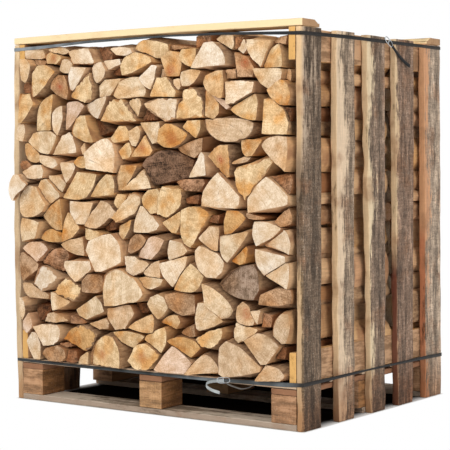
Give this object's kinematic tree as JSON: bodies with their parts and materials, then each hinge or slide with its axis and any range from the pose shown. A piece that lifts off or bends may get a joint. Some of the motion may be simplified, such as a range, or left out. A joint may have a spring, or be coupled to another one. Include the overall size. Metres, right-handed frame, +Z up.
{
  "type": "pallet of firewood",
  "caption": "Low wooden pallet with slatted side walls, stacked full of split logs laid end-out, with a flat beam across the top at front and back and two plastic straps.",
  "frame": {"origin": "on the ground, under the middle of the crate", "axes": "+Z up, -Y towards the open front where the log ends show, X along the front between the two slatted walls"},
  "size_m": [1.0499, 0.848, 1.105],
  "materials": {
    "pallet_wood": "rough sawn and weathered",
    "slat_wood": "rough sawn, weathered grey-brown",
    "rail_wood": "rough sawn",
    "beam_wood": "fresh sawn",
    "log_wood": "split and sawn, unfinished",
    "strap_plastic": "satin",
    "buckle_steel": "drawn wire"
  },
  "bodies": {
    "root": {"bottom_board_front": "pallet_wood", "bottom_board_middle": "pallet_wood", "bottom_board_back": "pallet_wood", "block_front_left": "pallet_wood", "block_front_centre": "pallet_wood", "block_front_right": "pallet_wood", "block_middle_left": "pallet_wood", "block_middle_centre": "pallet_wood", "block_middle_right": "pallet_wood", "block_back_left": "pallet_wood", "block_back_centre": "pallet_wood", "block_back_right": "pallet_wood", "stringer_left": "pallet_wood", "stringer_centre": "pallet_wood", "stringer_right": "pallet_wood", "deck_board_1": "pallet_wood", "deck_board_2": "pallet_wood", "deck_board_3": "pallet_wood", "deck_board_4": "pallet_wood", "deck_board_5": "pallet_wood", "slat_left_1": "slat_wood", "slat_left_2": "slat_wood", "slat_left_3": "slat_wood", "slat_left_4": "slat_wood", "slat_left_5": "slat_wood", "slat_right_1": "slat_wood", "slat_right_2": "slat_wood", "slat_right_3": "slat_wood", "slat_right_4": "slat_wood", "slat_right_5": "slat_wood", "rail_left_low": "rail_wood", "rail_left_top": "rail_wood", "rail_right_low": "rail_wood", "rail_right_top": "rail_wood", "beam_front": "beam_wood", "beam_back": "beam_wood", "strap_low": "strap_plastic", "strap_top": "strap_plastic", "buckle_low": "buckle_steel", "buckle_top": "buckle_steel", "logs_front_row": "log_wood", "logs_middle_row": "log_wood", "logs_back_row": "log_wood"}
  },
  "joints": []
}
